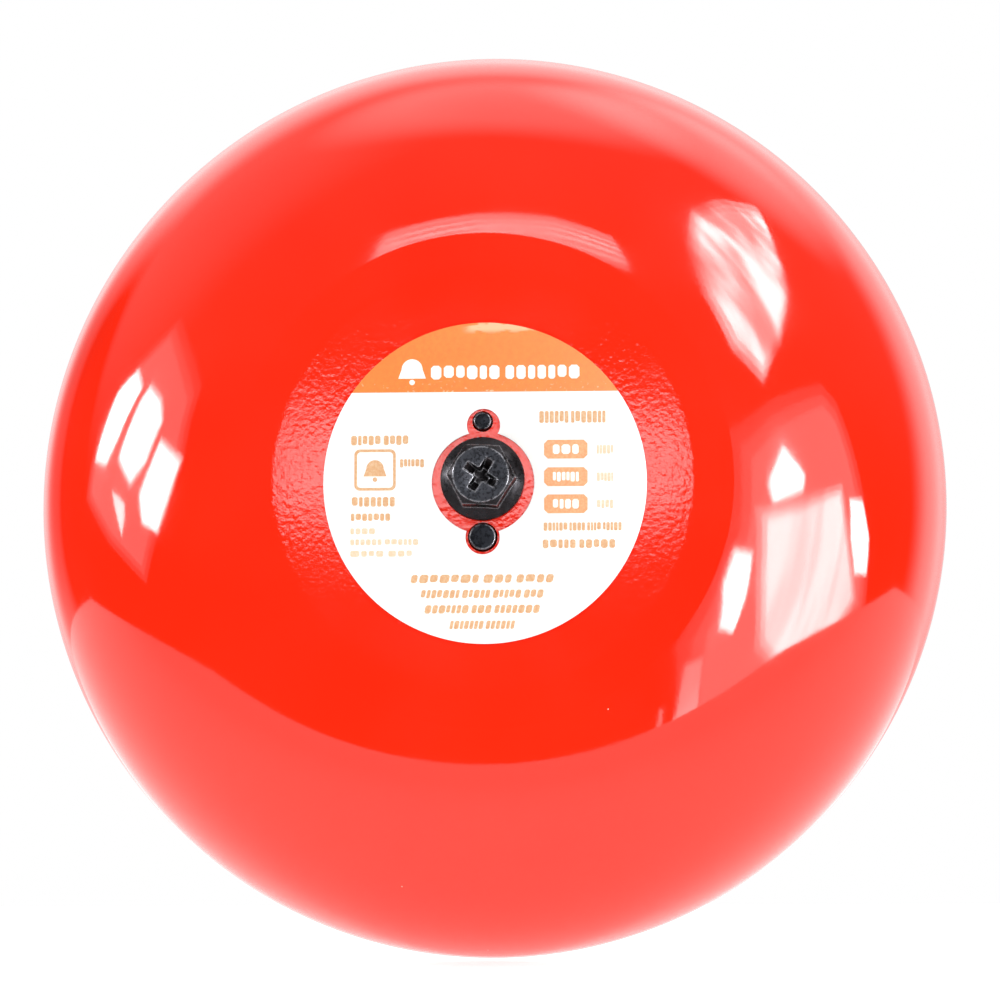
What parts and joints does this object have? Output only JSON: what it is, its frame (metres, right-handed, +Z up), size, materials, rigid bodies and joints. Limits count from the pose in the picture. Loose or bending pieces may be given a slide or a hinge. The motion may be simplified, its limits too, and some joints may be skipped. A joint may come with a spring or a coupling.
{
  "type": "fire alarm bell",
  "caption": "Round red motor-driven fire alarm bell: flat-centred steel gong held by a flange bolt over a cast chassis with a geared wheel and swinging hammer, on a wall plate.",
  "frame": {"origin": "centre of the mounting plate's back face, where it lies on the wall, on the gong's axis", "axes": "+Y into the wall, so the gong faces -Y; +Z up the wall; +X to the right for someone facing the bell"},
  "size_m": [0.2032, 0.0673, 0.2032],
  "materials": {
    "red_paint": "glossy baked enamel with fine orange peel",
    "label": "printed vinyl sticker, satin",
    "black_steel": "black oxide, semi-gloss",
    "black_casting": "die-cast zinc alloy, matte black powder coat",
    "zinc_plate": "bright zinc plating",
    "steel": "turned steel",
    "brass": "machined",
    "bronze": "sintered bronze",
    "copper": "enamelled copper wire and laminated steel",
    "rubber": "matte",
    "nylon": "moulded nylon",
    "black_plastic": "moulded, satin",
    "ferrite": "sintered ferrite",
    "carbon": "pressed carbon",
    "board": "green solder mask",
    "terminal_green": "moulded",
    "sleeve_blue": "shrink sleeve",
    "varistor_coat": "dipped epoxy",
    "resistor_body": "lacquered",
    "wire_red": "insulation",
    "wire_black": "insulation"
  },
  "bodies": {
    "root": {"gong": "red_paint", "gong_label": "label", "gong_bolt": "black_steel", "upper_locating_pin": "black_steel", "lower_locating_pin": "black_steel", "gong_cushion": "rubber", "chassis": "black_casting", "mounting_plate": "zinc_plate", "chassis_screw_1": "steel", "chassis_screw_2": "steel", "chassis_screw_3": "steel", "chassis_screw_4": "steel", "wire_grommet": "rubber", "circuit_board": "board", "board_standoff_1": "brass", "board_standoff_2": "brass", "board_standoff_3": "brass", "board_standoff_4": "brass", "board_screw_1": "steel", "board_screw_2": "steel", "board_screw_3": "steel", "board_screw_4": "steel", "terminal_block": "terminal_green", "terminal_screw_1": "steel", "terminal_screw_2": "steel", "terminal_screw_3": "steel", "terminal_screw_4": "steel", "bridge_rectifier": "black_plastic", "smoothing_capacitor": "sleeve_blue", "varistor": "varistor_coat", "dropper_resistor": "resistor_body", "motor_lead_red": "wire_red", "motor_lead_black": "wire_black", "motor_can": "zinc_plate", "motor_end_cap": "black_plastic", "motor_terminal_1": "brass", "motor_terminal_2": "brass", "motor_bearing": "bronze", "motor_magnet_1": "ferrite", "motor_magnet_2": "ferrite", "motor_brush_1": "carbon", "motor_brush_2": "carbon", "motor_screw_1": "steel", "motor_screw_2": "steel", "wheel_axle": "steel", "wheel_washer": "steel", "wheel_clip": "steel"},
    "wheel": {"striker_wheel": "nylon", "hammer_bumper": "rubber", "hammer_pin": "steel", "hammer_clip": "steel", "hammer_spring": "steel"},
    "rotor": {"motor_shaft": "steel", "motor_armature": "copper", "motor_commutator": "copper", "motor_pinion": "brass"},
    "hammer": {"hammer": "steel"}
  },
  "joints": [
    {"name": "wheel_spin", "type": "hinge", "parent": "root", "child": "wheel", "pos_m": [0, -0.026, -0.06471], "axis": [0, -1, 0], "continuous": true},
    {"name": "motor_spin", "type": "hinge", "parent": "root", "child": "rotor", "pos_m": [0, -0.0265, -0.03716], "axis": [0, -1, 0], "continuous": true},
    {"name": "hammer_swing", "type": "hinge", "parent": "wheel", "child": "hammer", "pos_m": [0.00369, -0.0185, -0.07873], "axis": [0, -1, 0], "range_deg": [0, 75], "stiffness_Nm_per_rad": 0.002, "springref_deg": -28.65, "deforming": ["hammer_spring"]}
  ],
  "couplings": [
    {"joint": "motor_spin", "follows": "wheel_spin", "ratio": -4.5}
  ]
}
